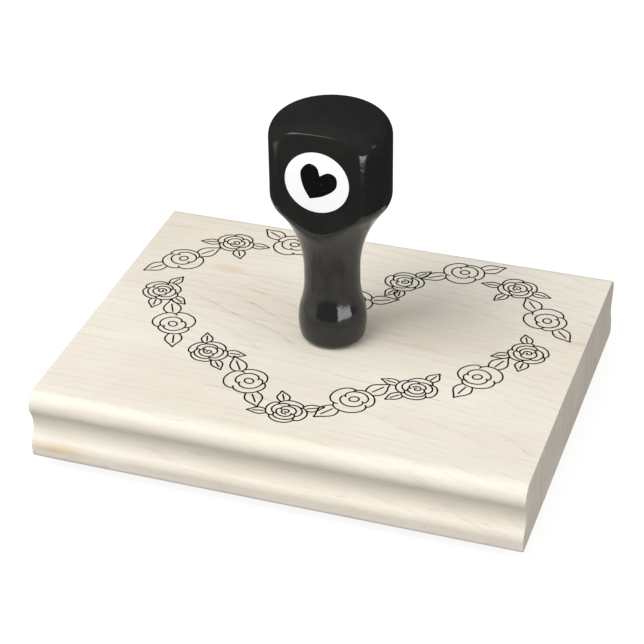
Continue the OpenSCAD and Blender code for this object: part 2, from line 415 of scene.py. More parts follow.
@dataclass(frozen=True)
class Lacquer(Finish):
    """Polished lacquer over turned wood."""

    black: Colour = (0.0165, 0.0172, 0.0172)
    warm: Colour = (0.024, 0.0232, 0.021)
    speck: Colour = (0.10, 0.10, 0.10)
    gloss: float = 0.06
    ior: float = 1.42

    def wire(self, kit: ShaderKit) -> None:
        """Fill the tree."""
        cloud = kit.noise((0.05, 0.05, 0.05), 3, 0.6)
        radius = (kit.x * kit.x + kit.y * kit.y) ** 0.5
        turning = kit.noise((0.0, 0.0, 2.4), 2, 0.5, (3, 3, 0))
        peel = kit.noise((0.9, 0.9, 0.9), 3, 0.65)
        dust = kit.noise((3.1, 3.1, 3.1), 1, 0.5).eased(0.74, 0.80)
        tone = kit.blend(cloud.eased(0.4, 0.7), self.black, self.warm)
        tone = kit.blend(dust * 0.25, tone, self.speck)
        wear = (radius * 0.01 + cloud).eased(0.5, 0.9)
        kit.surface(tone, self.gloss + wear * 0.02 + dust * 0.2,
                    {"IOR": self.ior, "Specular IOR Level": 0.5,
                     "Normal": kit.bump(peel * 0.9 + turning * 0.1, 0.05, 0.8)})


@dataclass(frozen=True)
class GlossPaper(Finish):
    """White coated paper, with a painted glow that makes it brighter than the lamps light it."""

    white: Colour = (0.95, 0.95, 0.95)
    shade: Colour = (0.80, 0.79, 0.76)
    # painted glow: emission that stands in for light falling on the label
    painted_glow: float = 0.14
    coat: float = 0.35

    def wire(self, kit: ShaderKit) -> None:
        """Fill the tree."""
        fibre = kit.noise((2.2, 2.2, 2.2), 4, 0.6)
        tone = kit.blend(fibre.eased(0.5, 0.8) * 0.06, self.white, self.shade)
        kit.surface(tone, 0.34 + fibre * 0.1,
                    # The emission is a painted glow: the paper lights itself instead of being lit.
                    {"Emission Color": (1, 1, 1, 1), "Emission Strength": self.painted_glow,
                     "Coat Weight": self.coat, "Coat Roughness": 0.12,
                     "Normal": kit.bump(fibre, 0.006, 0.4)})


@dataclass(frozen=True)
class FoamRubber(Finish):
    """Closed-cell foam, cut with a knife."""

    wall: Colour = (0.105, 0.105, 0.11)
    cell: Colour = (0.035, 0.035, 0.038)

    def wire(self, kit: ShaderKit) -> None:
        """Fill the tree."""
        open_cell = 1 - kit.cells((2.6, 2.6, 2.6)).eased(0.18, 0.42)
        fine = kit.noise((5, 5, 5), 3, 0.6)
        kit.surface(kit.blend(open_cell * 0.8, self.wall, self.cell), 0.88 - fine * 0.1,
                    {"Specular IOR Level": 0.25,
                     "Normal": kit.bump(1 - open_cell * 0.8 + fine * 0.2, 0.18, 0.7)})


@dataclass(frozen=True)
class Rubber(Finish):
    """Moulded rubber with a dusty bloom and a few specks of filler."""

    body: Colour
    bloom: Colour
    speck: Colour
    grain: float = 1.0

    def wire(self, kit: ShaderKit) -> None:
        """Fill the tree."""
        dusty = kit.noise((0.12, 0.12, 0.12), 4, 0.65).eased(0.42, 0.75)
        fine = kit.noise((3.0, 3.0, 3.0), 3, 0.6)
        specks = kit.noise((2.2, 2.2, 2.2), 1, 0.4, (4, 1, 7)).eased(0.72, 0.78)
        tone = kit.blend(dusty * 0.5, self.body, self.bloom)
        tone = kit.blend(specks * 0.5, tone, self.speck)
        kit.surface(tone, 0.58 + dusty * 0.2 + fine * 0.05,
                    {"Specular IOR Level": 0.35,
                     "Normal": kit.bump(fine, 0.02 * self.grain, 0.6)})


@dataclass(frozen=True)
class ClearFilm(Finish):
    """Milky double-sided adhesive film."""

    milk: Colour = (0.72, 0.70, 0.62)
    glue: Colour = (0.55, 0.52, 0.43)
    ior: float = 1.47

    def wire(self, kit: ShaderKit) -> None:
        """Fill the tree."""
        cloudy = kit.noise((0.25, 0.25, 0.8), 3, 0.6)
        tone = kit.blend(cloudy.eased(0.4, 0.7) * 0.4, self.milk, self.glue)
        kit.surface(tone, 0.22 + cloudy * 0.2, {"IOR": self.ior,
                                                "Normal": kit.bump(cloudy, 0.01, 0.4)})


@dataclass(frozen=True)
class PlatedSteel(Finish):
    """Zinc-plated steel, with the marks of its tool."""

    bright: Colour = (0.66, 0.67, 0.69)
    dull: Colour = (0.42, 0.42, 0.43)
    tool_marks: Colour = (0.3, 0.3, 3.0)

    def wire(self, kit: ShaderKit) -> None:
        """Fill the tree."""
        bloom = kit.noise((0.5, 0.5, 0.5), 4, 0.6).eased(0.4, 0.75)
        marks = kit.noise(self.tool_marks, 3, 0.6)
        kit.surface(kit.blend(bloom * 0.7, self.bright, self.dull),
                    0.24 + bloom * 0.22 + marks * 0.08,
                    {"Metallic": 1.0 - bloom * 0.06, "Normal": kit.bump(marks, 0.015, 0.4)})


MAPLE = Maple("sanded_maple")
END_GRAIN = EndGrain("maple_end_grain")
INK = PrintedInk("printed_ink")
LACQUER = Lacquer("gloss_black_lacquer")
PAPER = GlossPaper("gloss_white_paper")
FOAM = FoamRubber("closed_cell_foam")
DIE_RUBBER = Rubber("brick_red_rubber", (0.40, 0.095, 0.065), (0.52, 0.22, 0.17),
                    (0.62, 0.40, 0.33))
WASHER_RUBBER = Rubber("soft_black_rubber", (0.022, 0.022, 0.023), (0.06, 0.06, 0.062),
                       (0.12, 0.12, 0.12), 1.6)
FILM = ClearFilm("milky_film")
NUT_STEEL = PlatedSteel("zinc_plated_steel")
BOLT_STEEL = PlatedSteel("rolled_thread_steel", (0.60, 0.59, 0.57), (0.34, 0.33, 0.31),
                         (1.2, 1.2, 1.2))


# ---- Mesh bench ----

class Section:
    """An outline drawn by lines and arcs in an upright plane through the origin."""

    def __init__(self, start: Pair, across: Vector = ACROSS) -> None:
        """Put the pen down.

        Args:
            start: First point, as across and up.
            across: Direction of the plane's first axis.
        """
        self.mesh = bmesh.new()
        self.across = across
        self.end = self.mesh.verts.new(self.point(start))

    def point(self, at: Pair) -> Vector:
        """Return a point of the plane in space."""
        return self.across * at[0] + UP * at[1]

    def line(self, to: Pair, steps: int = 1) -> "Section":
        """Draw a straight line, in so many steps, and return the section."""
        step = (self.point(to) - self.end.co) / steps
        for _ in range(steps):
            grown = bmesh.ops.extrude_vert_indiv(self.mesh, verts=[self.end])
            self.end = grown["verts"][0]
            self.end.co += step
        return self

    def lines(self, *points: Pair) -> "Section":
        """Draw straight lines from point to point and return the section."""
        for point in points:
            self.line(point)
        return self

    def arc(self, centre: Pair, degrees: float, steps: int) -> "Section":
        """Draw an arc about a centre, upwards where degrees is positive, and return the section."""
        axis = self.across.cross(UP)
        swept = bmesh.ops.spin(self.mesh, geom=[self.end], cent=self.point(centre), axis=axis,
                               angle=math.radians(degrees), steps=steps)
        self.end = only_verts(swept["geom_last"])[0]
        return self

    def turned(self, steps: int) -> BMesh:
        """Return the outline spun to a full turn about the upright axis."""
        mesh = self.mesh
        bmesh.ops.spin(mesh, geom=mesh.verts[:] + mesh.edges[:], cent=(0, 0, 0), axis=UP,
                       angle=2 * math.pi, steps=steps, use_merge=True)
        return cleaned(mesh)


def s_radii(rise: float, step: float) -> float:
    """Return the sum of the radii of an S curve between upright lines rise and step apart."""
    return (rise * rise + step * step) / (2 * step)


def s_lean(rise: float, step: float) -> float:
    """Return how far the middle of such an S curve leans, in degrees."""
    return math.degrees(math.atan2(rise, s_radii(rise, step) - step))


def shifted(mesh: BMesh, by: Sequence[float],
            verts: Optional[Iterable[BMVert]] = None) -> BMesh:
    """Shift a mesh, or some vertices of it, and return it."""
    bmesh.ops.translate(mesh, verts=mesh.verts if verts is None else list(verts), vec=by)
    return mesh


def lifted(mesh: BMesh, height: float) -> BMesh:
    """Raise a mesh and return it."""
    return shifted(mesh, (0, 0, height))


def swung(mesh: BMesh, degrees: float, axis: str) -> BMesh:
    """Turn a mesh about an axis through the origin and return it."""
    bmesh.ops.rotate(mesh, verts=mesh.verts, cent=(0, 0, 0),
                     matrix=Matrix.Rotation(math.radians(degrees), 3, axis))
    return mesh


def cleaned(mesh: BMesh) -> BMesh:
    """Merge the vertices of a mesh that coincide, turn its faces outward and return it."""
    bmesh.ops.remove_doubles(mesh, verts=mesh.verts, dist=MERGE)
    bmesh.ops.recalc_face_normals(mesh, faces=mesh.faces)
    return mesh


def thickened(mesh: BMesh, height: float) -> BMesh:
    """Raise the faces of a flat mesh into a closed slab and return it."""
    grown = bmesh.ops.extrude_face_region(mesh, geom=mesh.faces[:])
    shifted(mesh, (0, 0, height), only_verts(grown["geom"]))
    bmesh.ops.recalc_face_normals(mesh, faces=mesh.faces)
    return mesh


def only_verts(geometry: Iterable[object]) -> list[BMVert]:
    """Return the vertices among some elements."""
    return [part for part in geometry if isinstance(part, BMVert)]


def everything(mesh: BMesh) -> list[object]:
    """Return all elements of a mesh."""
    return mesh.verts[:] + mesh.edges[:] + mesh.faces[:]


def open_edges(mesh: BMesh) -> list[BMEdge]:
    """Return the edges with a face on one side only."""
    return [edge for edge in mesh.edges if edge.is_boundary]


def ring(mesh: BMesh, radius: float, height: float,
         segments: int) -> list[BMEdge]:
    """Add a circle about the upright axis and return its edges."""
    made = bmesh.ops.create_circle(mesh, segments=segments, radius=radius,
                                   matrix=Matrix.Translation((0, 0, height)))
    return list(dict.fromkeys(edge for vert in made["verts"] for edge in vert.link_edges))


def ease(mesh: BMesh, edges: Iterable[BMEdge], width: float,
         segments: int = 3) -> None:
    """Round some edges of a mesh by a width."""
    bmesh.ops.bevel(mesh, geom=list(edges), offset=width, offset_type="OFFSET",
                    segments=segments, profile=0.5, affect="EDGES", material=-1,
                    clamp_overlap=False)


def corners(mesh: BMesh) -> list[BMEdge]:
    """Return the edges whose faces meet at a corner that shows."""
    return [e for e in mesh.edges if len(e.link_faces) == 2 and e.calc_face_angle() > CREASE]


def stored(mesh: BMesh, name: str) -> bpy.types.Mesh:
    """Return mesh data made of a mesh, which is used up."""
    data = bpy.data.meshes.new(name)
    mesh.to_mesh(data)
    mesh.free()
    return data


def linked(name: str, data: bpy.types.ID) -> Object:
    """Return a new object of the scene that holds some data."""
    made = bpy.data.objects.new(name, data)
    bpy.context.scene.collection.objects.link(made)
    return made


def joined(meshes: Sequence[BMesh]) -> BMesh:
    """Return one mesh of several, which are used up."""
    whole = bmesh.new()
    for mesh in meshes:
        carrier = stored(mesh, "carrier")
        whole.from_mesh(carrier)
        bpy.data.meshes.remove(carrier)
    return whole


@dataclass
class SubAssembly:
    """Pieces that ride on one body."""

    body: Body
    pieces: list[Object] = field(default_factory=list, init=False)

    def keep(self, mesh: BMesh, name: str, slot: Slot, finishes: Sequence[Finish],
             stands_for: Sequence[str] = (), even_flats: bool = False) -> Object:
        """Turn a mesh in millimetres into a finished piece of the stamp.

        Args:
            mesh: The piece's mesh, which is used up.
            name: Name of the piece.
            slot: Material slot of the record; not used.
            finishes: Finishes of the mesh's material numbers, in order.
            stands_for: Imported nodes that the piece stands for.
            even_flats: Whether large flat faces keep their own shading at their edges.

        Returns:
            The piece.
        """
        bmesh.ops.scale(mesh, verts=mesh.verts, vec=(MM, MM, MM))
        for face in mesh.faces:
            face.smooth = True
        for edge in corners(mesh):
            edge.smooth = False
        data = stored(mesh, name)
        for finish in finishes:
            data.materials.append(finish.material())
        piece = linked(name, data)
        if even_flats:
            evener = piece.modifiers.new("even_flats", "WEIGHTED_NORMAL")
            evener.keep_sharp = True
        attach(piece, self.body.value)
        if stands_for:
            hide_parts(*stands_for)
        self.pieces.append(piece)
        return piece

    def report(self) -> None:
        """Log each piece with its size."""
        for piece in self.pieces:
            log.info("%s on %s: %d faces", piece.name, self.body.value,
                     len(piece.data.polygons))


# ---- Wreath ----

def polar(reach: float, degrees: float) -> Pair:
    """Return the point at a reach from the origin in a direction."""
    angle = math.radians(degrees)
    return reach * math.cos(angle), reach * math.sin(angle)


@dataclass(frozen=True)
class Stroke:
    """A drawn line through some points of the plan."""

    points: tuple[Pair, ...]
    closed: bool = False

    def moved(self, centre: Vector, turn: float, widening: float, mirrored: bool) -> "Stroke":
        """Return the stroke turned, widened along the block and moved to its place.

        Args:
            centre: Where the stroke's origin goes.
            turn: Degrees that the stroke is turned by first.
            widening: Share by which it grows along the block.
            mirrored: Whether its place is on the left half of the wreath.
        """
        swing = Matrix.Rotation(math.radians(turn), 2)
        side = -1 if mirrored else 1
        placed = []
        for across, deep in self.points:
            spot = swing @ Vector((across, deep))
            placed.append((side * (spot.x * widening + centre.x), spot.y + centre.y))
        return Stroke(tuple(placed), self.closed)


@dataclass(frozen=True)
class PetalRing:
    """A ring of petals that each tuck under the next."""

    count: int
    inner: float
    outer: float
    turn: float = 0.0
    unevenness: float = 0.018
    rise: tuple[Pair, ...] = ((0.0, 0.5), (0.13, 0.86), (0.36, 1.0), (0.63, 0.98),
                              (0.86, 0.8), (1.0, 0.5), (1.09, 0.12))

    def reach(self, degrees: float) -> float:
        """Return how far the ring's outline reaches in a direction."""
        share = ((degrees - self.turn) * self.count / 360) % 1
        below = max(p for p in self.rise if p[0] <= share)
        above = min(p for p in self.rise if p[0] > share)
        part = (share - below[0]) / (above[0] - below[0])
        rise = below[1] + (above[1] - below[1]) * part
        return self.inner + (self.outer - self.inner) * rise

    def strokes(self, rng: random.Random) -> list[Stroke]:
        """Return one line for each petal, a little uneven as by hand."""
        drawn = []
        for petal in range(self.count):
            points = []
            for share, rise in self.rise:
                radius = self.inner + (self.outer - self.inner) * rise
                radius *= 1 + rng.uniform(-self.unevenness, self.unevenness)
                points.append(polar(radius, self.turn + (petal + share) * 360 / self.count))
            drawn.append(Stroke(tuple(points)))
        return drawn


class Bloom(Enum):
    """Kinds of flower in the wreath, each with its petal rings as shares of its radius."""

    FULL = (PetalRing(4, 0.70, 1.0, 20), PetalRing(3, 0.44, 0.74, 75),
            PetalRing(2, 0.24, 0.48, 150))
    CUPPED = (PetalRing(3, 0.64, 1.0, 35), PetalRing(2, 0.36, 0.62, 100))


@dataclass(frozen=True)
class Flower:
    """One drawn flower with its leaves, about the origin."""

    bloom: Bloom
    radius: float
    leaf_turns: tuple[float, ...]
    leaf_length: float
    seed: int
    off_centre: float = 0.12
    ring_drift: float = 25
    curl_points: int = 9
    curl_turn: float = 58
    curl_start: float = 0.045
    curl_growth: float = 0.027
    eye_points: int = 8
    eye_reach: float = 0.19
    eye_stretch: float = 1.15
    leaf_width: Pair = (0.30, 0.36)
    leaf_foot: float = 0.62
    leaf_bend: float = 0.10
    leaf_edge: tuple[Pair, ...] = ((0.22, 0.96), (0.42, 1.0), (0.62, 0.72), (0.8, 0.32),
                                   (1.0, 0.0))
    vein: tuple[float, ...] = (0.10, 0.4, 0.68)

    def heart(self, rng: random.Random) -> list[Stroke]:
        """Return the curl or the eye at the flower's middle."""
        lean = rng.uniform(0, 360)
        if self.bloom is Bloom.FULL:
            return [Stroke(tuple(
                polar(self.radius * (self.curl_start + self.curl_growth * step),
                      lean + step * self.curl_turn) for step in range(self.curl_points)))]
        eye = [polar(self.radius * self.eye_reach, step * 360 / self.eye_points)
               for step in range(self.eye_points)]
        return [Stroke(tuple((across * self.eye_stretch, deep) for across, deep in eye), True)]

    def leaf(self, degrees: float, outline: PetalRing, rng: random.Random) -> list[Stroke]:
        """Return the two sides and the vein of a leaf that leaves the flower in a direction."""
        width = self.leaf_length * rng.uniform(*self.leaf_width)
        spread = math.degrees(width * self.leaf_foot / self.radius)
        bend = rng.uniform(-self.leaf_bend, self.leaf_bend) * self.leaf_length
        foot = self.radius * outline.reach(degrees)
        long = self.radius + self.leaf_length - foot
        swing = Matrix.Rotation(math.radians(degrees), 2)

        def spot(share: float, aside: float = 0.0) -> Pair:
            """Return the point at a share of the leaf's length, and so far aside."""
            return tuple(swing @ Vector((foot + long * share, aside + bend * share)))

        sides = []
        for side in (-1, 1):
            start = degrees + side * spread
            base = polar(self.radius * outline.reach(start), start)
            edge = (spot(share, side * width * swell) for share, swell in self.leaf_edge)
            sides.append(Stroke((base, *edge)))
        return sides + [Stroke(tuple(spot(share) for share in self.vein))]

    def strokes(self) -> list[Stroke]:
        """Return every line of the flower."""
        rng = random.Random(self.seed)
        rings = [replace(r, turn=r.turn + rng.uniform(-self.ring_drift, self.ring_drift))
                 for r in self.bloom.value]
        way = rng.uniform(0, 360)
        shift = Vector(polar(self.off_centre * self.radius * (self.bloom is Bloom.CUPPED), way))
        drawn = [stroke.moved(shift, 0, 1, False) for stroke in self.heart(rng)]
        for petals in rings:
            off = Vector((0, 0)) if petals is rings[0] else shift
            for stroke in petals.strokes(rng):
                drawn.append(Stroke(tuple((a * self.radius + off.x, b * self.radius + off.y)
                                          for a, b in stroke.points)))
        for degrees in self.leaf_turns:
            drawn += self.leaf(degrees, rings[0], rng)
        return drawn


@dataclass(frozen=True)
class Variety:
    """How one kind of flower grows in the wreath, with its leaves' turns in degrees."""

    bloom: Bloom
    growth: float
    widening: float
    longest_leaf: float
    leaf_turns: Pair
    inward_leaf: Optional[float] = None


@dataclass(frozen=True)
class Wreath:
    """A heart of flowers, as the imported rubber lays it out."""

    rubber_length: float
    rubber_width: float
    flowers: int = 18
    flower_radius: float = 5.5
    leaf_length: float = 4.5
    edge: float = 1.5
    leaf_lean: float = 28
    leaf_reach: float = 0.7
    leaf_fill: float = 0.96
    flower_spread: float = 2.15
    top_share: float = 0.99
    curve_points: int = 61
    varieties: tuple[Variety, ...] = (Variety(Bloom.FULL, 1.0, 1.15, 4.9, (4, -12), 22),
                                      Variety(Bloom.CUPPED, 1.14, 1.1, 7.4, (-8, -4)))
    half: tuple[tuple[Pair, ...], ...] = (((0, -0.9), (1.05, 0), (1, -0.12), (1, 0.56)),
                                          ((1, 0.56), (1, 0.56), (0.61, 1.58), (0, 0.41)))

    def path(self) -> list[Vector]:
        """Return points along the right half of the heart, from its tip to its dip."""
        reach_x = (self.rubber_length / 2 - self.edge - self.flower_radius
                   - self.leaf_reach * self.leaf_length)
        reach_y = (self.rubber_width / 2 - self.edge - self.flower_radius) / self.top_share
        points = []
        for curve in self.half:
            knots = [Vector((across * reach_x, deep * reach_y, 0)) for across, deep in curve]
            points += interpolate_bezier(*knots, self.curve_points)
        return points

    def stations(self) -> list[tuple[Vector, float]]:
        """Return each flower's centre on the right half and the wreath's direction there."""
        points = self.path()
        sums = [0.0]
        for before, after in zip(points, points[1:]):
            sums.append(sums[-1] + (after - before).length)
        half = self.flowers // 2
        centres = []
        for step in range(half + 1):
            goal = min(sums[-1] * step / half, sums[-1] - MM)
            at = max(i for i, s in enumerate(sums[:-1]) if s <= goal)
            share = (goal - sums[at]) / max(sums[at + 1] - sums[at], MM)
            centres.append(points[at].lerp(points[at + 1], share))
        turns = [0.0]
        for before, after in zip(centres, centres[2:]):
            turns.append(math.degrees(math.atan2(after.y - before.y, after.x - before.x)))
        return list(zip(centres, turns + [0.0]))

    def strokes(self) -> list[Stroke]:
        """Return every line of the wreath in the plan."""
        stations = self.stations()
        drawn = []
        for index, (centre, turn) in enumerate(stations):
            ends = index in (0, len(stations) - 1)
            room = min((centre - other).length for other, _ in stations if other != centre)
            for mirrored in ((False,) if ends else (False, True)):
                flower, widening = self.flower(index, centre, turn, room, mirrored)
                drawn += [s.moved(centre, turn, widening, mirrored) for s in flower.strokes()]
        return drawn

    def flower(self, index: int, centre: Vector, turn: float, room: float,
               mirrored: bool) -> tuple[Flower, float]:
        """Return the flower of one station and how much it widens along the block.

        Args:
            index: The station's number, from the heart's tip.
            centre: The station's place.
            turn: Direction of the wreath there, in degrees.
            room: Distance to the nearest other flower of the half.
            mirrored: Whether the flower stands on the left half.
        """
        kind = self.varieties[index % len(self.varieties)]
        gap = (room - self.flower_spread * self.flower_radius) * self.leaf_fill
        ways = [self.leaf_lean + kind.leaf_turns[0], 180 + self.leaf_lean + kind.leaf_turns[1]]
        if kind.inward_leaf is not None:
            inward = math.degrees(math.atan2(-centre.y, -centre.x)) - turn
            ways.append(inward + kind.inward_leaf)
        return Flower(kind.bloom, self.flower_radius * kind.growth, tuple(ways),
                      min(kind.longest_leaf, gap), index * 2 + int(mirrored)), kind.widening


@dataclass(frozen=True)
class LinePen:
    """Draws strokes as raised lines with eight-sided sections."""

    half_width: float
    bend_steps: int = 5

    def drawn(self, strokes: Sequence[Stroke]) -> BMesh:
        """Return the strokes as closed round lines about the plan's own level."""
        line = bpy.data.curves.new("pen_line", "CURVE")
        line.dimensions = "3D"
        line.twist_mode = "Z_UP"
        line.bevel_depth = self.half_width
        line.bevel_resolution = 1
        line.use_fill_caps = True
        line.resolution_u = self.bend_steps
        for stroke in strokes:
            self._spline(line, stroke)
        holder = linked("pen_line", line)
        bpy.context.view_layer.update()
        graph = bpy.context.evaluated_depsgraph_get()
        data = bpy.data.meshes.new_from_object(holder.evaluated_get(graph))
        mesh = bmesh.new()
        mesh.from_mesh(data)
        bpy.data.objects.remove(holder)
        bpy.data.curves.remove(line)
        bpy.data.meshes.remove(data)
        return cleaned(mesh)

    @staticmethod
    def _spline(line: bpy.types.Curve, stroke: Stroke) -> None:
        """Add a stroke to a curve."""
        spline = line.splines.new("BEZIER")
        spline.bezier_points.add(len(stroke.points) - 1)
        spline.use_cyclic_u = stroke.closed
        for knot, (across, deep) in zip(spline.bezier_points, stroke.points):
            knot.co = (across, deep, 0)
            knot.handle_left_type = knot.handle_right_type = "AUTO"


# ---- Mount ----

@dataclass
class MouldedBlock(SubAssembly):
    """The wooden block, its printed wreath and the nut let into its underside."""

    body: Body = Body.MOUNT
    top_arc: float = 4.5
    bead_in: float = 0.6
    cove_depth: float = 2.45
    base_arc: float = 4.0
    base_height: float = 4.0
    base_round: float = 1.5
    base_steps: int = 8
    cove_steps: int = 14
    top_steps: int = 22
    end_ease: float = 0.3
    bolt_diameter: float = 6.35
    bore_clear: float = 0.05
    barrel_wall: float = 0.75
    flange_width: float = 5.5
    flange_thickness: float = 1.2
    patch: float = 14.0
    ring_segments: int = 72
    nut_steps: int = 96
    nut_lip: float = 0.2
    nut_mouth: float = 0.3
    thread_sink: float = 0.02
    thread_depth: float = 0.62
    thread_start: float = 0.9
    thread_ends: float = 1.9
    prong: Colour = (1.2, 3.0, 5.4)
    prong_rise: float = 2.3
    prong_ease: float = 0.12
    point_width: float = 0.34
    point_lean: float = 0.4
    ink_half_width: float = 0.27
    ink_height: float = 0.02

    def __post_init__(self) -> None:
        """Take the block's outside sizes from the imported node."""
        self.low, self.high = node_box("wood_block")
        self.width = self.high.y - self.low.y
        self.thickness = self.high.z - self.low.z
        self.barrel_radius = self.bolt_diameter / 2 + self.bore_clear + self.barrel_wall
        self.hole_radius = self.barrel_radius + self.bore_clear
        self.recess_radius = self.hole_radius + self.flange_width

    def section(self) -> Section:
        """Return half of the block's section, from the middle of its foot to its top."""
        half = self.width / 2
        top_h = self.thickness - self.top_arc
        cove_h = (self.base_height + top_h) / 2
        low_rise = cove_h - self.base_height
        high_rise = top_h - cove_h
        high_step = self.cove_depth - self.bead_in
        low_cove = s_radii(low_rise, self.cove_depth) - self.base_arc
        high_cove = s_radii(high_rise, high_step) - self.top_arc
        low_lean = s_lean(low_rise, self.cove_depth)
        high_lean = s_lean(high_rise, high_step)
        cove_x = half - self.cove_depth
        drawing = Section((0, 0), DEEP).line((half - self.base_round, 0))
        drawing.arc((half - self.base_round, self.base_round), 90, self.base_steps)
        drawing.line((half, self.base_height))
        drawing.arc((half - self.base_arc, self.base_height), low_lean, self.cove_steps)
        drawing.arc((cove_x + low_cove, cove_h), -low_lean, self.cove_steps)
        drawing.arc((cove_x + high_cove, cove_h), -high_lean, self.cove_steps)
        drawing.arc((half - self.bead_in - self.top_arc, top_h), 90 + high_lean,
                    self.top_steps)
        return drawing.line((0, self.thickness))

    def moulded(self) -> BMesh:
        """Return the moulding, cut to length, with open ends."""
        mesh = shifted(self.section().mesh, (self.low.x, 0, 0))
        grown = bmesh.ops.extrude_edge_only(mesh, edges=mesh.edges[:])
        shifted(mesh, (self.high.x - self.low.x, 0, 0), only_verts(grown["geom"]))
        bmesh.ops.mirror(mesh, geom=everything(mesh), merge_dist=MERGE, axis="Y")
        cleaned(mesh)
        for normal in (ACROSS, DEEP):
            for side in (-1, 1):
                bmesh.ops.bisect_plane(mesh, geom=everything(mesh), dist=MERGE / 10,
                                       plane_co=normal * side * self.patch, plane_no=normal)
        return mesh

    def _opened(self, mesh: BMesh, height: float) -> list[BMEdge]:
        """Take the square patch about the axis out of the top or foot and return its edges."""
        inside = [f for f in mesh.faces
                  if max(abs(f.calc_center_median().x), abs(f.calc_center_median().y))
                  < self.patch and abs(f.calc_center_median().z - height) < NEAR]
        bmesh.ops.delete(mesh, geom=inside, context="FACES_KEEP_BOUNDARY")
        rim = [e for e in open_edges(mesh)
               if all(abs(v.co.z - height) < NEAR
                      and max(abs(v.co.x), abs(v.co.y)) < self.patch + NEAR
                      for v in e.verts)]
        cuts = self.ring_segments // len(rim) - 1
        split = bmesh.ops.subdivide_edges(mesh, edges=rim, cuts=cuts)
        return [e for e in split["geom_split"] if isinstance(e, BMEdge)]

    def bored(self, mesh: BMesh) -> None:
        """Bore the hole for the bolt and the recess for the nut's flange."""
        steps = [(self.hole_radius, self.thickness), (self.hole_radius, self.flange_thickness),
                 (self.recess_radius, self.flange_thickness), (self.recess_radius, 0.0)]
        last = self._opened(mesh, self.thickness)
        foot = self._opened(mesh, 0.0)
        for radius, height in steps:
            circle = ring(mesh, radius, height, self.ring_segments)
            bmesh.ops.bridge_loops(mesh, edges=last + circle)
            last = circle
        bmesh.ops.bridge_loops(mesh, edges=last + foot)

    def block(self) -> Object:
        """Build the wooden block."""
        mesh = self.moulded()
        self.bored(mesh)
        bmesh.ops.holes_fill(mesh, edges=open_edges(mesh), sides=0)
        bmesh.ops.recalc_face_normals(mesh, faces=mesh.faces)
        ends = [f for f in mesh.faces
                if abs(f.calc_center_median().x) > self.high.x - MERGE and len(f.verts) > 4]
        for face in ends:
            face.material_index = 1
        rims = [e for f in ends for e in f.edges]
        mouth = [e for e in corners(mesh) if abs(e.verts[0].co.z - self.thickness) < MERGE
                 and e.verts[0].co.xy.length < self.patch]
        ease(mesh, rims + mouth, self.end_ease)
        return self.keep(lifted(mesh, self.low.z), "moulded_block", Slot.MAPLE,
                         [MAPLE, END_GRAIN], ["wood_block"], even_flats=True)

    def print(self, wreath: Wreath) -> Object:
        """Print the wreath on the block's top."""
        mesh = LinePen(self.ink_half_width).drawn(wreath.strokes())
        for vert in mesh.verts:
            vert.co.z *= self.ink_height / self.ink_half_width
        return self.keep(lifted(mesh, self.high.z), "index_print", Slot.INK, [INK])

    def nut(self) -> Object:
        """Build the nut: a flange, a threaded barrel and four prongs."""
        low, high = node_box("threaded_nut")
        bore = self.bolt_diameter / 2 + self.bore_clear
        flange = self.barrel_radius + self.flange_width
        top = high.z - low.z
        lip, mouth = self.nut_lip, self.nut_mouth
        lead = (bore, mouth + lip)
        barrel = Section(lead).lines((bore + 2 * lip, 0), (flange - lip, 0))
        barrel.arc((flange - lip, lip), 90, 4).line((flange, self.flange_thickness - mouth))
        barrel.arc((flange - mouth, self.flange_thickness - mouth), 90, 4)
        barrel.lines((self.barrel_radius, self.flange_thickness),
                     (self.barrel_radius, top - lip), (self.barrel_radius - lip, top),
                     (bore + mouth, top), (bore, top - mouth), lead)
        parts = [barrel.turned(self.nut_steps)]
        parts += self._prongs((self.barrel_radius + flange) / 2, self.flange_thickness)
        thread = ScrewThread(bore + self.thread_sink, bore - self.thread_depth,
                             start=self.thread_start, rise=top - self.thread_ends, offset=0.5)
        parts.append(thread.cut())
        return self.keep(lifted(joined(parts), low.z), "threaded_nut_steel", Slot.PLATED,
                         [NUT_STEEL], ["threaded_nut"])

    def _prongs(self, radius: float, base: float) -> list[BMesh]:
        """Return the nut's four prongs, drawn to a blunt point."""
        made = []
        for quarter in range(4):
            mesh = bmesh.new()
            bmesh.ops.create_cube(mesh, size=1)
            bmesh.ops.scale(mesh, verts=mesh.verts, vec=self.prong)
            middle = base + self.prong_rise
            shifted(mesh, (radius, 0, middle))
            for vert in mesh.verts:
                if vert.co.z > middle:
                    vert.co.y *= self.point_width
                    vert.co.x += (radius - vert.co.x) * self.point_lean
            ease(mesh, mesh.edges[:], self.prong_ease, 2)
            swung(mesh, 45 + 90 * quarter, "Z")
            made.append(mesh)
        return made


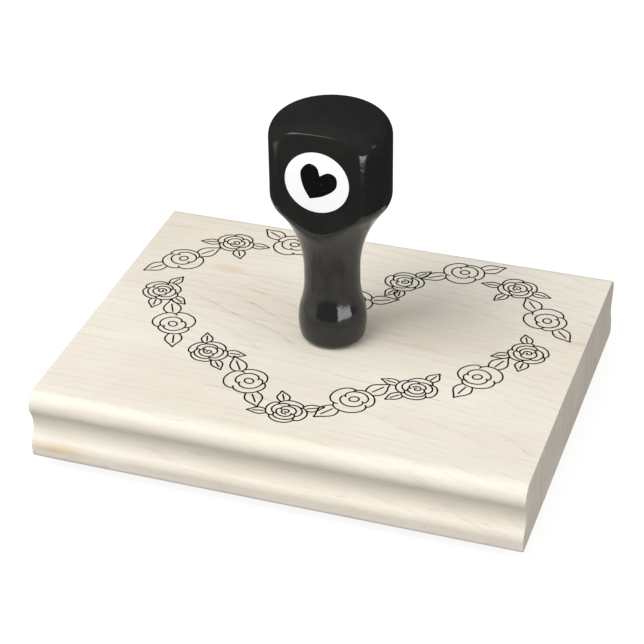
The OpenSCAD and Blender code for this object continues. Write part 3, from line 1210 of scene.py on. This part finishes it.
@dataclass
class PrintingSide(SubAssembly):
    """The rubber die, its foam cushion and the films that hold them."""

    body: Body = Body.MOUNT
    corner: float = 4.0
    line_half_width: float = 0.36
    relief: float = 1.0
    foam_ease: float = 0.35
    sheet_ease: float = 0.12
    seat: float = 0.3
    root: float = 0.02

    def slab(self, node: str, rounding: float) -> BMesh:
        """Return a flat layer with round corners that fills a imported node's box.

        Args:
            node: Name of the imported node.
            rounding: How far the layer's edges are rounded.

        Returns:
            The layer's mesh.
        """
        low, high = node_box(node)
        mesh = bmesh.new()
        bmesh.ops.create_grid(mesh, x_segments=1, y_segments=1, size=0.5)
        bmesh.ops.scale(mesh, verts=mesh.verts, vec=(high.x - low.x, high.y - low.y, 1))
        bmesh.ops.bevel(mesh, geom=mesh.verts[:], offset=self.corner, offset_type="OFFSET",
                        segments=12, profile=0.5, affect="VERTICES", material=-1)
        thickened(mesh, high.z - low.z)
        if rounding:
            ease(mesh, corners(mesh), rounding)
        return lifted(mesh, low.z)

    def films(self) -> None:
        """Build the two adhesive films."""
        for node, name in (("upper_film", "upper_adhesive"), ("lower_film", "lower_adhesive")):
            self.keep(self.slab(node, 0), name, Slot.FILM, [FILM], [node])

    def cushion(self) -> Object:
        """Build the foam cushion."""
        foam = self.keep(self.slab("foam_cushion", self.foam_ease), "foam_layer", Slot.FOAM, [FOAM],
                         ["foam_cushion"], even_flats=True)
        return foam

    def die(self, wreath: Wreath) -> Object:
        """Build the rubber sheet with its raised lines."""
        low, _ = node_box("rubber_die")
        sheet_low = low.z + self.relief
        sheet = self.slab("rubber_die", 0)
        for vert in sheet.verts:
            vert.co.z = max(vert.co.z, sheet_low)
        ease(sheet, corners(sheet), self.sheet_ease, 2)
        lines = LinePen(self.line_half_width).drawn(wreath.strokes())
        for vert in lines.verts:
            share = vert.co.z / self.line_half_width
            if share < -0.5:
                vert.co.z = low.z
            else:
                vert.co.z = sheet_low + (self.seat if share > 0.5 else self.root)
        bmesh.ops.recalc_face_normals(lines, faces=lines.faces)
        return self.keep(joined([sheet, lines]), "rubber_printing_plate", Slot.DIE,
                         [DIE_RUBBER], ["rubber_die"], even_flats=True)


# ---- Handle ----

@dataclass(frozen=True)
class ScrewThread:
    """A helical ridge about the upright axis."""

    root: float
    crest: float
    start: float
    rise: float
    pitch: float = 1.27
    offset: float = 0.0
    root_share: float = 0.42
    crest_share: float = 0.06
    steps: int = 36

    def cut(self) -> BMesh:
        """Return the ridge as a closed mesh."""
        mesh = bmesh.new()
        begin = self.start + self.offset * self.pitch
        half = self.root_share * self.pitch
        flat = self.crest_share * self.pitch
        outline = [(self.root, -half), (self.root, half), (self.crest, flat),
                   (self.crest, -flat)]
        verts = [mesh.verts.new((across, 0, begin + up)) for across, up in outline]
        face = mesh.faces.new(verts)
        turns = (self.rise - self.offset * self.pitch) / self.pitch
        count = int(turns * self.steps)
        bmesh.ops.spin(mesh, geom=[face] + list(face.edges) + verts, cent=(0, 0, 0), axis=UP,
                       dvec=(0, 0, self.pitch / self.steps),
                       angle=2 * math.pi * count / self.steps, steps=count)
        bmesh.ops.holes_fill(mesh, edges=open_edges(mesh), sides=0)
        bmesh.ops.recalc_face_normals(mesh, faces=mesh.faces)
        return mesh


@dataclass
class FootWasher(SubAssembly):
    """The rubber washer that the foot presses on the block."""

    body: Body = Body.WASHER
    edge: float = 0.22
    width: float = 2.25
    spin_steps: int = 96
    arc_steps: int = 5

    def build(self) -> Object:
        """Build the washer."""
        low, high = node_box("foot_washer")
        outer = high.x
        inner = outer - self.width
        thick = high.z - low.z
        e = self.edge
        drawing = Section((inner + e, 0))
        for start, centre in (((outer - e, 0), (outer - e, e)),
                              ((outer, thick - e), (outer - e, thick - e)),
                              ((inner + e, thick), (inner + e, thick - e)),
                              ((inner, e), (inner + e, e))):
            drawing.line(start).arc(centre, 90, self.arc_steps)
        return self.keep(lifted(drawing.turned(self.spin_steps), low.z), "rubber_washer", Slot.WASHER,
                         [WASHER_RUBBER], ["foot_washer"])


@dataclass
class TurnedHandle(SubAssembly):
    """The lacquered handle and its bolt."""

    body: Body = Body.HANDLE
    flat: float = 12.9
    flat_ease: float = 1.5
    neck_r: float = 8.6
    waist_h: float = 20.6
    neck_h: float = 24.0
    foot_r: float = 10.6
    foot_h: float = 6.5
    foot_arc: float = 22.0
    foot_round: float = 2.6
    flare_arc: float = 36.5
    low_arc: float = 6.0
    shoulder_arc: float = 6.4
    crown_arc: float = 56.0
    pilot_r: float = 3.0
    pilot_depth: float = 21.0
    recess_r: float = 5.675
    recess_depth: float = 0.8
    bolt_diameter: float = 6.35
    thread_depth: float = 0.72
    thread_stop: float = 0.6
    tip_ease: float = 0.3
    tip_height: float = 0.5
    collar: tuple[Pair, ...] = ((-0.12, 0.5), (-0.12, 2.2), (-0.82, 3.2))
    point_length: float = 4.0
    point_r: float = 0.35
    machine_sink: float = 0.05
    machine_start: float = 0.8
    machine_ends: float = 1.4
    wood_sink: float = 0.45
    wood_start: float = 4.4
    wood_ends: float = 8.6
    wood_pitch: float = 2.4
    bolt_steps: int = 48
    spin_steps: int = 288

    def __post_init__(self) -> None:
        """Take the handle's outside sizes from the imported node."""
        self.low, self.high = node_box("handle")
        self.height = self.high.z - self.low.z
        self.head_r = self.high.x

    def section(self) -> Section:
        """Return half of the turned section, from the bolt's hole round to the crown."""
        bulge_x = self.foot_r - self.foot_arc
        edge_r = self.foot_arc - self.foot_round
        edge_drop = self.foot_h - self.foot_round
        edge_x = bulge_x + math.sqrt(edge_r ** 2 - edge_drop ** 2)
        edge_lean = math.degrees(math.asin(edge_drop / edge_r))
        rise, step = self.waist_h - self.foot_h, self.foot_r - self.neck_r
        lean = s_lean(rise, step)
        neck_arc = s_radii(rise, step) - self.foot_arc
        reach = self.flare_arc + self.low_arc
        run = self.neck_r + self.flare_arc - self.head_r + self.low_arc
        low_h = self.neck_h + math.sqrt(reach ** 2 - run ** 2)
        low_lean = math.degrees(math.asin((low_h - self.neck_h) / reach))
        shoulder_x = self.head_r - self.shoulder_arc
        crown_h = self.height - self.crown_arc
        shoulder_h = crown_h + math.sqrt((self.crown_arc - self.shoulder_arc) ** 2
                                         - shoulder_x ** 2)
        crown_lean = math.degrees(math.acos(shoulder_x / (self.crown_arc - self.shoulder_arc)))
        drawing = Section((0, self.pilot_depth))
        drawing.lines((self.pilot_r, self.pilot_depth), (self.pilot_r, self.recess_depth),
                      (self.recess_r, self.recess_depth), (self.recess_r, 0), (edge_x, 0))
        drawing.arc((edge_x, self.foot_round), 90 - edge_lean, 12)
        drawing.arc((bulge_x, self.foot_h), edge_lean + lean, 20)
        drawing.arc((self.neck_r + neck_arc, self.waist_h), -lean, 14)
        drawing.line((self.neck_r, self.neck_h), 3)
        drawing.arc((self.neck_r + self.flare_arc, self.neck_h), -low_lean, 44)
        drawing.arc((self.head_r - self.low_arc, low_h), low_lean, 14)
        drawing.line((self.head_r, shoulder_h), 8)
        drawing.arc((shoulder_x, shoulder_h), crown_lean, 22)
        drawing.arc((0, crown_h), 90 - crown_lean, 26)
        return drawing

    def flattened(self, mesh: BMesh) -> None:
        """Press the flat into the head's front, with a soft edge all round."""
        for vert in mesh.verts:
            front = -vert.co.y
            near = max(self.flat_ease - abs(front - self.flat), 0) / self.flat_ease
            if vert.co.z > self.neck_h:
                vert.co.y = -(min(front, self.flat) - near * near * self.flat_ease / 4)

    def handle(self) -> Object:
        """Build the turned handle."""
        mesh = self.section().turned(self.spin_steps)
        self.flattened(mesh)
        bmesh.ops.recalc_face_normals(mesh, faces=mesh.faces)
        return self.keep(lifted(mesh, self.low.z), "turned_handle", Slot.LACQUER, [LACQUER],
                         ["handle"])

    def bolt(self) -> Object:
        """Build the hanger bolt, machine thread below and wood thread above."""
        low, high = node_box("hanger_bolt")
        crest = self.bolt_diameter / 2
        root = crest - self.thread_depth
        long = high.z - low.z
        metal_end = self.low.z - low.z - self.thread_stop
        thin = root - self.tip_ease
        drawing = Section((0, 0)).lines((thin, 0), (root, self.tip_height), (root, metal_end))
        drawing.lines(*((crest + across, metal_end + up) for across, up in self.collar))
        drawing.lines((thin, long - self.point_length), (self.point_r, long), (0, long))
        machine = ScrewThread(root - self.machine_sink, crest, start=self.machine_start,
                              rise=metal_end - self.machine_ends)
        wood = ScrewThread(root - self.wood_sink, crest, start=metal_end + self.wood_start,
                           rise=long - metal_end - self.wood_ends, pitch=self.wood_pitch)
        mesh = joined([drawing.turned(self.bolt_steps), machine.cut(), wood.cut()])
        return self.keep(lifted(mesh, low.z), "hanger_bolt_steel", Slot.BOLT, [BOLT_STEEL],
                         ["hanger_bolt"])


@dataclass
class RoundLabel(SubAssembly):
    """The white label on the head's flat, with a plain heart."""

    body: Body = Body.HANDLE
    edge: float = 0.06
    spin_steps: int = 128
    mark_width: float = 11.4
    mark_tilt: float = -22.0
    mark_height: float = 0.02
    knot_steps: int = 8
    half: tuple[Pair, ...] = ((0, -0.52), (0.30, -0.26), (0.50, 0.10), (0.40, 0.40),
                              (0.17, 0.42), (0, 0.22))

    def __post_init__(self) -> None:
        """Take the label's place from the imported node."""
        self.low, self.high = node_box("label_disc")
        self.centre = (self.low + self.high) / 2

    def upright(self, mesh: BMesh) -> BMesh:
        """Stand a mesh that lies in the plan up on the flat, facing the front, and return it."""
        swung(mesh, 90, "X")
        return shifted(mesh, (self.centre.x, self.high.y, self.centre.z))

    def disc(self) -> Object:
        """Build the paper disc."""
        radius = (self.high.x - self.low.x) / 2
        thick = self.high.y - self.low.y
        e = self.edge
        drawing = Section((0, 0)).line((radius, 0)).line((radius, thick - e))
        drawing.arc((radius - e, thick - e), 90, 4).line((0, thick))
        return self.keep(self.upright(drawing.turned(self.spin_steps)), "label_paper", Slot.LABEL, [PAPER],
                         ["label_disc"])

    def mark(self) -> Object:
        """Print the heart on the disc."""
        mesh = bmesh.new()
        outline = self._smooth()
        last = mesh.verts.new(outline[0])
        for spot in outline[1:]:
            grown = bmesh.ops.extrude_vert_indiv(mesh, verts=[last])
            last = grown["verts"][0]
            last.co = spot
        bmesh.ops.mirror(mesh, geom=mesh.verts[:] + mesh.edges[:], merge_dist=MERGE, axis="X")
        bmesh.ops.remove_doubles(mesh, verts=mesh.verts, dist=MERGE)
        bmesh.ops.contextual_create(mesh, geom=mesh.edges[:])
        bmesh.ops.scale(mesh, verts=mesh.verts, vec=(self.mark_width, self.mark_width, 1))
        thickened(swung(mesh, self.mark_tilt, "Z"), self.mark_height)
        lifted(mesh, self.high.y - self.low.y - self.mark_height / 2)
        return self.keep(self.upright(mesh), "label_heart", Slot.INK, [INK])

    def _smooth(self) -> list[Vector]:
        """Return a smooth line through the knots of the heart's half, with free ends."""
        knots = [Vector((*knot, 0)) for knot in self.half]
        padded = [knots[0], *knots, knots[-1]]
        line = []
        for before, start, end, after in zip(padded, padded[1:], padded[2:], padded[3:]):
            line += interpolate_bezier(start, start + (end - before) / 6,
                                       end - (after - start) / 6, end, self.knot_steps + 1)[:-1]
        return line + [knots[-1]]


# ---- Studio ----

class Reach(Enum):
    """What a light reaches: the matt look of a surface or its gloss."""

    MATT = (True, False)
    GLOSS = (False, True)


@dataclass(frozen=True)
class SoftBox:
    """A rectangular light that faces the stamp, in metres."""

    name: str
    place: Colour
    width: float
    height: float
    power: float
    reach: Reach = Reach.MATT
    aim: Colour = (0.0, 0.0, 0.045)

    def build(self) -> None:
        """Add the light."""
        lamp = bpy.data.lights.new(self.name, "AREA")
        lamp.shape = "RECTANGLE"
        lamp.size = self.width
        lamp.size_y = self.height
        lamp.energy = self.power
        holder = linked(self.name, lamp)
        away = Vector(self.place) - Vector(self.aim)
        turn = away.to_track_quat("Z", "Y").to_matrix().to_4x4()
        holder.matrix_world = Matrix.Translation(self.place) @ turn
        holder.visible_diffuse, holder.visible_glossy = self.reach.value
        holder.visible_camera = False


@dataclass
class Studio:
    """A pale floor, soft lights and the camera."""

    floor_half: float = 4.0
    floor_white: Colour = (0.25, 0.25, 0.25)
    floor_glow: float = 0.86
    floor_rough: float = 0.95
    horizon: float = 0.1
    sensor: float = 36
    sky: float = 0.51
    ground: float = 0.28
    gloss_sky: float = 0.03
    lens: float = 112.8
    camera_place: Colour = (0.1686, -0.4954, 0.3700)
    camera_turn: Colour = (57.019, 0.768, 18.665)
    boxes: tuple[SoftBox, ...] = (
        SoftBox("key_box", (-0.56, -0.55, 1.22), 0.85, 0.85, 13.2),
        SoftBox("crown_box", (-0.525, -0.561, 0.95), 0.9, 0.55, 8.0, Reach.GLOSS),
        SoftBox("front_box", (-0.25, -1.3, 0.35), 0.9, 0.6, 3.3),
        SoftBox("fill_box", (1.2, -0.35, 0.3), 0.7, 0.5, 4.8),
        SoftBox("window_card", (0.17, -0.105, 0.03), 0.17, 0.06, 0.23, Reach.GLOSS),
        SoftBox("grey_card", (-0.173, -0.10, 0.03), 0.16, 0.06, 0.035, Reach.GLOSS),
        SoftBox("side_card", (0.95, 0.2, 0.25), 0.12, 0.14, 0.08, Reach.GLOSS),
    )

    def floor(self) -> None:
        """Build the floor."""
        mesh = bmesh.new()
        bmesh.ops.create_grid(mesh, x_segments=1, y_segments=1, size=self.floor_half)
        ground = linked("studio_floor", stored(mesh, "studio_floor"))
        card = bpy.data.materials.new("studio_white")
        ShaderKit(card).surface((*self.floor_white, 1), self.floor_rough,
                                {"Specular IOR Level": 0.0, "Emission Color": (1, 1, 1, 1),
                                 "Emission Strength": self.floor_glow})
        ground.data.materials.append(card)
        ground.visible_diffuse = False
        ground.visible_glossy = False

    def world(self) -> None:
        """Build a surround that is white above, grey below, and dark in reflections."""
        surround = bpy.data.worlds.new("studio_surround")
        bpy.context.scene.world = surround
        kit = ShaderKit(surround)
        way = kit.node("ShaderNodeSeparateXYZ", {}, {0: kit.found["Generated"]})
        light = kit.node("ShaderNodeMapRange", {},
                         {"Value": way.outputs["Z"], "From Min": -self.horizon,
                          "From Max": self.horizon, "To Min": self.ground, "To Max": self.sky})
        ray = kit.node("ShaderNodeLightPath")
        chosen = kit.node("ShaderNodeMix", {}, {"Factor": ray.outputs["Is Glossy Ray"],
                                                "A": light.outputs[0], "B": self.gloss_sky})
        glow = kit.node("ShaderNodeBackground", {}, {"Strength": chosen.outputs[0],
                                                     "Color": (1, 1, 1, 1)})
        kit.node("ShaderNodeOutputWorld", {}, {"Surface": glow.outputs[0]})

    def camera(self) -> None:
        """Build the camera."""
        eye = bpy.data.cameras.new("studio_camera")
        eye.lens = self.lens
        eye.sensor_width = self.sensor
        holder = linked("studio_camera", eye)
        holder.location = self.camera_place
        holder.rotation_euler = [math.radians(angle) for angle in self.camera_turn]
        bpy.context.scene.camera = holder

    def build(self) -> None:
        """Build the whole studio."""
        bpy.context.scene.view_settings.view_transform = "Standard"
        self.floor()
        self.world()
        self.camera()
        for box in self.boxes:
            box.build()


def main() -> None:
    """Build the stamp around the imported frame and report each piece."""
    logging.basicConfig(level=logging.INFO, format="%(name)s: %(message)s")
    low, high = node_box("rubber_die")
    wreath = Wreath(high.x - low.x, high.y - low.y)
    block = MouldedBlock()
    block.block()
    block.print(wreath)
    block.nut()
    printing = PrintingSide()
    printing.films()
    printing.cushion()
    printing.die(wreath)
    washer = FootWasher()
    washer.build()
    handle = TurnedHandle()
    handle.handle()
    handle.bolt()
    label = RoundLabel()
    label.disc()
    label.mark()
    for part in (block, printing, washer, handle, label):
        part.report()
    Studio().build()


if __name__ == "__main__":
    main()
